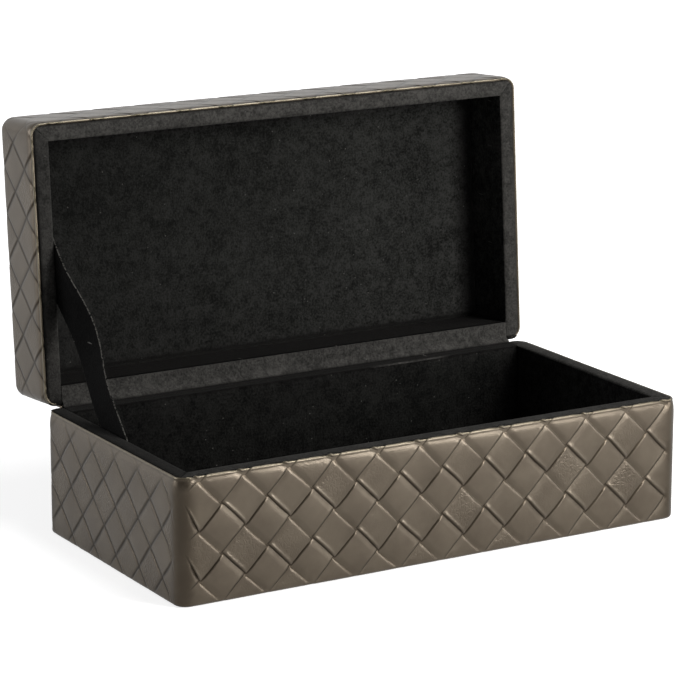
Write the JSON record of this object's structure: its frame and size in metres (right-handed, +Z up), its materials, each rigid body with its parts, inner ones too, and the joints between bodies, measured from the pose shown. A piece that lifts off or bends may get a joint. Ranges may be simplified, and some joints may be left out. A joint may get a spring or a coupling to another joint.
{
  "type": "storage box",
  "caption": "Rectangular hinged-lid storage box in woven-look leather with a black velvet lining, a cloth hinge and a ribbon stay that holds the lid open.",
  "frame": {"origin": "centre of the base's underside, where the felt sheet stands on the table", "axes": "+X along the length of the box, -Y towards its front, +Z up"},
  "size_m": [0.3, 0.2001, 0.2167],
  "materials": {
    "leather": "satin metallic taupe, embossed as a plain diagonal basket weave",
    "board": "raw fibreboard",
    "card": "grey board",
    "lining_velvet": "black velvet over card",
    "rim_velvet": "black velvet, nap brushed up",
    "pad_velvet": "black velvet over thin wadding",
    "felt": "black felt",
    "ribbon": "black velvet ribbon"
  },
  "bodies": {
    "base": {"base_bottom_board": "board", "base_front_board": "board", "base_back_board": "board", "base_left_board": "board", "base_right_board": "board", "base_leather_cover": "leather", "underside_sheet": "felt", "base_front_liner": "lining_velvet", "base_back_liner": "lining_velvet", "base_left_liner": "lining_velvet", "base_right_liner": "lining_velvet", "base_floor_card": "card", "base_floor_pad": "pad_velvet", "base_front_rim": "rim_velvet", "base_left_rim": "rim_velvet", "base_right_rim": "rim_velvet", "outer_hinge_strip": "leather", "inner_hinge_cloth": "rim_velvet", "stay_ribbon": "ribbon"},
    "lid": {"lid_top_board": "board", "lid_front_board": "board", "lid_back_board": "board", "lid_left_board": "board", "lid_right_board": "board", "lid_leather_cover": "leather", "lid_front_liner": "lining_velvet", "lid_back_liner": "lining_velvet", "lid_left_liner": "lining_velvet", "lid_right_liner": "lining_velvet", "lid_panel_card": "card", "lid_panel_pad": "pad_velvet", "lid_front_rim": "rim_velvet", "lid_left_rim": "rim_velvet", "lid_right_rim": "rim_velvet"}
  },
  "joints": [
    {"name": "lid_hinge", "type": "hinge", "parent": "base", "child": "lid", "pos_m": [0, 0.075, 0.0672], "axis": [1, 0, 0], "range_deg": [0, 94], "deforming": ["outer_hinge_strip", "inner_hinge_cloth", "stay_ribbon"]}
  ]
}
